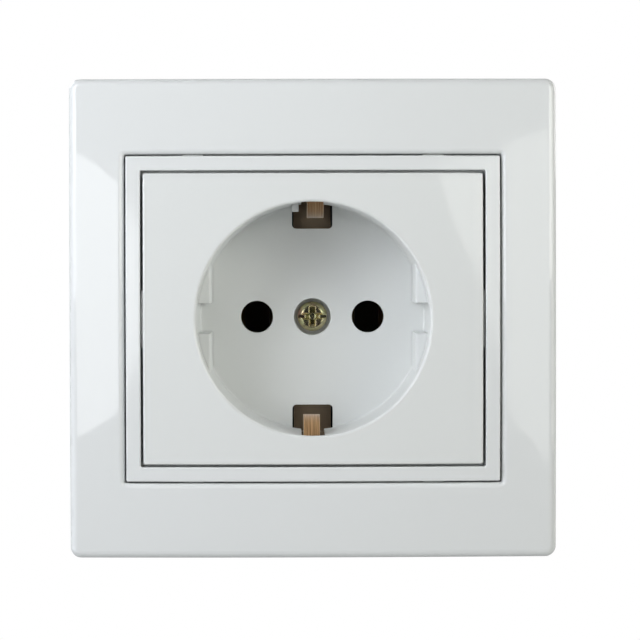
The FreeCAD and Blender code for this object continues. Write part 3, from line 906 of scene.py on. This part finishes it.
# Hot-dip zinc: pale and dark crystals side by side, some of them sharper in their gleam.
PLATE_STEEL = GalvanisedSheet(
    name="galvanised_sheet_steel", colour="#CBD0D3", dark_crystal="#ADB3B7", roughness=0.38,
    roughness_spread=0.1, crystal_mm=4.0, feather_mm=1.0, grain_mm=0.5, grain_height_mm=0.006, edge_mm=0.2,
)
# Rolled brass strip: warm, with lines along the strip, browner towards the back.
CONTACT_BRASS = RolledStrip(
    name="stamped_brass_strip", colour="#D9B870", line_colour="#C09C55", dull_colour="#8F6C35",
    edge_colour="#E8CD8C", roughness=0.3, roughness_spread=0.07, line_axis=Axis.X, line_mm=0.3,
    line_length_mm=15.0, line_height_mm=0.005, dull_mm=2.5, dull_from_mm=0.0, dull_to_mm=80.0, edge_mm=0.12,
)
# Bronze strip: copper bright on the lower tongue, darkened on the upper one by painted shade, and
# brown-grey at the back of the well, partly tarnish and partly painted shade where it lies deep.
EARTH_BRONZE = RolledStrip(
    name="stamped_bronze_strip", colour="#E2B988", line_colour="#8F6039", dull_colour="#A38F76",
    edge_colour="#EBD6BC", roughness=0.32, roughness_spread=0.08, line_axis=Axis.X, line_mm=0.18,
    line_length_mm=9.0, line_height_mm=0.014, dull_mm=2.0, dull_from_mm=-6.0, dull_to_mm=6.0, edge_mm=0.12,
    metallic=0.6, dull_metallic=0.2, upper_shade=0.5,
)
# Matt pale paint: it throws soft light back and shows neither shadow nor gloss.
PALE_PAINT = FloorPaint(name="pale_floor_paint", colour="#E4E5E4", tone="#DDDFDE", roughness=0.7)


def material_of(finish: Finish) -> Material:
    """The finish's material, built when it is first asked for."""
    return bpy.data.materials.get(finish.name) or finish.material()


def dress(names: list[str], finish: Finish) -> None:
    """Put one finish on CAD nodes and smooth their shading.

    Args:
        names: The nodes' names.
        finish: The finish whose material they take.
    """
    for name in names:
        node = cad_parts[name]
        node.data.materials.clear()
        node.data.materials.append(material_of(finish))
        smooth = node.modifiers.new("area_weighted_normals", "WEIGHTED_NORMAL")
        smooth.mode = "FACE_AREA"
        smooth.weight = FACE_WEIGHT
        log.info("dressed %s with %s", name, finish.name)


@dataclass
class FrontMouldings:
    """The white pieces that are seen on the wall."""

    frame_node: str = "frame"
    ring_node: str = "inset_ring"
    cover_node: str = "socket_cover"

    def build(self) -> None:
        """Dress the frame, the ring and the cover."""
        dress([self.frame_node], FRAME_ABS)
        dress([self.ring_node], RING_ABS)
        dress([self.cover_node], COVER_PLASTIC)


@dataclass
class ContactInsert:
    """The base in the wall box with its contacts, terminals and cover screw."""

    terminals: tuple[str, ...] = ("line", "neutral", "earth")

    def build(self) -> None:
        """Dress the base and the metal in it."""
        dress(["base_body"], BASE_PLASTIC)
        dress(["line_contact", "neutral_contact", "earth_link", "earth_rivet"], CONTACT_BRASS)
        dress(["earth_strap"], EARTH_BRONZE)
        dress(["cover_screw"], YELLOW_ZINC)
        dress(["cover_nut"], BRIGHT_ZINC)
        for terminal in self.terminals:
            dress([f"{terminal}_terminal_screw", f"{terminal}_clamp_washer"], BRIGHT_ZINC)


@dataclass
class SupportPlate:
    """The galvanised plate that the box screws hold, and its rivets."""

    plate_node: str = "support_plate"
    rivet_node: str = "plate_rivets"

    def build(self) -> None:
        """Dress the plate and its rivets."""
        dress([self.plate_node], PLATE_STEEL)
        dress([self.rivet_node], RIVET_STEEL)


@dataclass
class SpreaderClaw:
    """One claw and its screw, with the thread on the screw's shank."""

    side: Side
    core_mm: float = 1.5
    crest_mm: float = 1.7
    pitch_mm: float = 0.6
    start_mm: float = 1.2
    end_gap_mm: float = 0.4
    # How deep the ridge's foot sits in the shank, and the half widths of its foot and crest in pitches
    sunk_mm: float = 0.04
    foot_share: float = 0.42
    crest_share: float = 0.08
    steps_per_turn: int = 28

    def profile(self, height_share: float) -> tuple[tuple[float, float], ...]:
        """Draw the cross-section of the thread's ridge.

        Args:
            height_share: Share of the full height, which is less where the thread runs out.

        Returns:
            Each corner's radius and its shift along the screw, in mm.
        """
        foot = self.core_mm - self.sunk_mm
        crest = self.core_mm + (self.crest_mm - self.core_mm) * height_share
        half_foot = self.foot_share * self.pitch_mm
        half_crest = self.crest_share * self.pitch_mm
        return (foot, -half_foot), (crest, -half_crest), (crest, half_crest), (foot, half_foot)

    def thread(self) -> bpy.types.Object:
        """Build the screw's thread as a ridge that winds along its shank.

        Returns:
            The thread, in place on the shank.
        """
        low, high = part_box(f"claw_screw_{self.side.word}")
        axis_x = (low.x + high.x) / 2
        axis_z = (low.z + high.z) / 2
        start = self.start_mm * MM
        length = high.y - self.end_gap_mm * MM - start
        turns = length / (self.pitch_mm * MM)
        steps = int(turns * self.steps_per_turn)
        shape = bmesh.new()
        sections = []
        for step in range(steps + 1):
            along = step / steps
            angle = 2 * math.pi * turns * along
            section = []
            for radius, shift in self.profile(min(1.0, along * turns, (1 - along) * turns)):
                point = Vector((
                    axis_x + radius * MM * math.cos(angle),
                    start + length * along + shift * MM,
                    axis_z + radius * MM * math.sin(angle),
                ))
                section.append(shape.verts.new(point))
            sections.append(section)
        for first, second in zip(sections, sections[1:]):
            for corner in range(len(first)):
                following = (corner + 1) % len(first)
                shape.faces.new((first[corner], second[corner], second[following], first[following]))
        shape.faces.new(sections[0])
        shape.faces.new(list(reversed(sections[-1])))
        bmesh.ops.recalc_face_normals(shape, faces=shape.faces)
        mesh = bpy.data.meshes.new(f"claw_thread_{self.side.word}")
        shape.to_mesh(mesh)
        shape.free()
        mesh.materials.append(material_of(BRIGHT_ZINC))
        piece = bpy.data.objects.new(mesh.name, mesh)
        bpy.context.scene.collection.objects.link(piece)
        return piece

    def build(self) -> None:
        """Dress the claw and its screw, and wind the thread on the screw."""
        dress([f"claw_{self.side.word}"], CLAW_ZINC)
        dress([f"claw_screw_{self.side.word}"], BRIGHT_ZINC)
        piece = self.thread()
        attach(piece, f"{self.side.word}_claw")
        log.info("built %s", piece.name)


class LampShape(Enum):
    """Outlines of a softbox, as Blender names them."""

    BOX = "RECTANGLE"
    OVAL = "ELLIPSE"


class LampColour(Enum):
    """Colours of the lamps, as sRGB hex values."""

    COOL = "#F7FAFF"
    FAINTLY_COOL = "#FAFCFF"
    WARM = "#FFFFF8"
    FAINTLY_WARM = "#FEFFF8"
    NEUTRAL = WHITE


def turn_towards(holder: bpy.types.Object, towards: Vector, roll_degrees: float) -> None:
    """Turn a lamp or a camera so that it looks one way.

    Args:
        holder: The object to turn.
        towards: The way that it looks.
        roll_degrees: Turn about that way.
    """
    roll = Quaternion((0.0, 0.0, 1.0), math.radians(roll_degrees))
    holder.rotation_euler = (towards.to_track_quat("-Z", "Y") @ roll).to_euler()


@dataclass
class Softbox:
    """One studio lamp with an even face, turned towards its target; sizes in metres."""

    name: str
    place: tuple[float, float, float]
    width: float
    height: float
    radiance: float
    colour: LampColour
    shape: LampShape = LampShape.BOX
    target: tuple[float, float, float] = (0.0, 0.0, 0.0)
    roll_degrees: float = 0.0

    def build(self) -> None:
        """Hang the lamp."""
        lamp = bpy.data.lights.new(self.name, "AREA")
        lamp.shape = self.shape.value
        lamp.size = self.width
        lamp.size_y = self.height
        area = self.width * self.height
        if self.shape is LampShape.OVAL:
            area *= math.pi / 4
        # A flat face that scatters evenly gives off pi times its radiance over its area
        lamp.energy = self.radiance * math.pi * area
        lamp.color = linear_colour(self.colour.value)[:3]
        holder = bpy.data.objects.new(self.name, lamp)
        holder.location = Vector(self.place)
        turn_towards(holder, Vector(self.target) - holder.location, self.roll_degrees)
        holder.visible_camera = False
        bpy.context.scene.collection.objects.link(holder)
        log.info("hung %s", self.name)


@dataclass
class Studio:
    """Floor, soft light and the camera at the photograph's angle; sizes in metres."""

    floor_height: float = -0.6
    floor_radius: float = 1.2
    floor_segments: int = 96
    face_y: float = -0.0105
    camera_distance: float = 0.5
    camera_side: float = -0.0039
    camera_rise: float = 0.0112
    aim_side: float = 0.00113
    aim_rise: float = -0.00018
    view_width: float = 0.1061
    roll_degrees: float = -0.12
    sensor_mm: float = 36.0
    near_limit: float = 0.01
    # Light of the dark room in front and of the pale one behind, and where one turns into the other
    front_light: float = 0.01
    rear_light: float = 0.35
    front_end: float = -0.15
    rear_start: float = 0.3

    def floor(self) -> None:
        """Lay the pale floor well below the socket."""
        shape = bmesh.new()
        bmesh.ops.create_circle(
            shape, cap_ends=True, segments=self.floor_segments, radius=self.floor_radius,
        )
        mesh = bpy.data.meshes.new("studio_floor")
        shape.to_mesh(mesh)
        shape.free()
        mesh.materials.append(material_of(PALE_PAINT))
        floor = bpy.data.objects.new("studio_floor", mesh)
        floor.location.z = self.floor_height
        bpy.context.scene.collection.objects.link(floor)

    def world(self) -> None:
        """Set a white backdrop, and as its light a dark room in front and a pale one behind."""
        world = bpy.data.worlds.new("white_surround")
        bpy.context.scene.world = world
        world.use_nodes = True
        tree = world.node_tree
        tree.nodes.clear()
        direction = add_node(tree, "ShaderNodeTexCoord").outputs["Generated"]
        way = add_node(tree, "ShaderNodeSeparateXYZ", {}, {"Vector": direction})
        strength = add_node(
            tree, "ShaderNodeMapRange", {"interpolation_type": "SMOOTHSTEP"},
            {
                "Value": way.outputs["Y"], "From Min": self.front_end, "From Max": self.rear_start,
                "To Min": self.front_light, "To Max": self.rear_light,
            },
        )
        light = add_node(
            tree, "ShaderNodeBackground", {},
            {"Color": linear_colour(WHITE), "Strength": strength.outputs["Result"]},
        )
        backdrop = add_node(
            tree, "ShaderNodeBackground", {}, {"Color": linear_colour(WHITE), "Strength": 1.0},
        )
        seen = add_node(tree, "ShaderNodeLightPath")
        mixed = add_node(
            tree, "ShaderNodeMixShader", {},
            {
                0: seen.outputs["Is Camera Ray"],
                1: light.outputs["Background"], 2: backdrop.outputs["Background"],
            },
        )
        add_node(tree, "ShaderNodeOutputWorld", {}, {"Surface": mixed.outputs["Shader"]})

    def lamps(self) -> None:
        """Hang the lamps that light the face, the two that its gloss mirrors, and those behind."""
        softboxes = (
            Softbox(
                "close_left_lamp", place=(-0.14, -0.17, 0.15), width=0.1, height=0.1,
                radiance=5.4, colour=LampColour.COOL,
            ),
            Softbox(
                "near_left_lamp", place=(-0.30, -0.30, 0.10), width=0.2, height=0.2,
                radiance=4.9, colour=LampColour.COOL,
            ),
            Softbox(
                "left_wall_lamp", place=(-0.62, -0.22, 0.0), width=0.5, height=1.0,
                radiance=1.4, colour=LampColour.COOL,
            ),
            Softbox(
                "near_right_lamp", place=(0.30, -0.30, 0.11), width=0.2, height=0.2,
                radiance=4.5, colour=LampColour.WARM,
            ),
            Softbox(
                "right_side_lamp", place=(0.75, -0.28, 0.08), width=0.4, height=0.4,
                radiance=2.8, colour=LampColour.WARM,
            ),
            Softbox(
                "left_oval", place=(-0.30, -0.89, 0.008), width=0.24, height=0.346,
                radiance=3.2, colour=LampColour.FAINTLY_COOL,
                shape=LampShape.OVAL, target=(-0.30, 0.0, 0.008),
            ),
            Softbox(
                "right_box", place=(0.343, -0.89, 0.032), width=0.30, height=0.36,
                radiance=1.6, colour=LampColour.FAINTLY_WARM,
                target=(0.343, 0.0, 0.032), roll_degrees=20.0,
            ),
            Softbox(
                "back_left_softbox", place=(-0.6, 0.7, 0.5), width=0.5, height=0.5,
                radiance=4.0, colour=LampColour.NEUTRAL,
            ),
            Softbox(
                "back_right_softbox", place=(0.7, 0.6, 0.3), width=0.4, height=0.5,
                radiance=3.0, colour=LampColour.NEUTRAL,
            ),
        )
        for softbox in softboxes:
            softbox.build()

    def camera(self) -> None:
        """Place the camera where the photograph was taken from."""
        lens = bpy.data.cameras.new("photo_camera")
        lens.sensor_fit = "HORIZONTAL"
        lens.sensor_width = self.sensor_mm
        lens.clip_start = self.near_limit
        camera = bpy.data.objects.new("photo_camera", lens)
        camera.location = Vector((self.camera_side, self.face_y - self.camera_distance, self.camera_rise))
        aim = Vector((self.aim_side, self.face_y, self.aim_rise))
        towards = aim - camera.location
        lens.lens = self.sensor_mm * towards.length / self.view_width
        turn_towards(camera, towards, self.roll_degrees)
        bpy.context.scene.collection.objects.link(camera)
        bpy.context.scene.camera = camera

    def build(self) -> None:
        """Set up the whole studio."""
        bpy.context.scene.view_settings.view_transform = "Standard"
        self.camera()
        self.floor()
        self.world()
        self.lamps()
        log.info("set up the studio")


def main() -> None:
    """Build every sub-assembly in order."""
    logging.basicConfig(level=logging.INFO, format="%(name)s: %(message)s")
    Studio().build()
    FrontMouldings().build()
    SupportPlate().build()
    ContactInsert().build()
    for side in Side:
        SpreaderClaw(side).build()


if __name__ == "__main__":
    main()
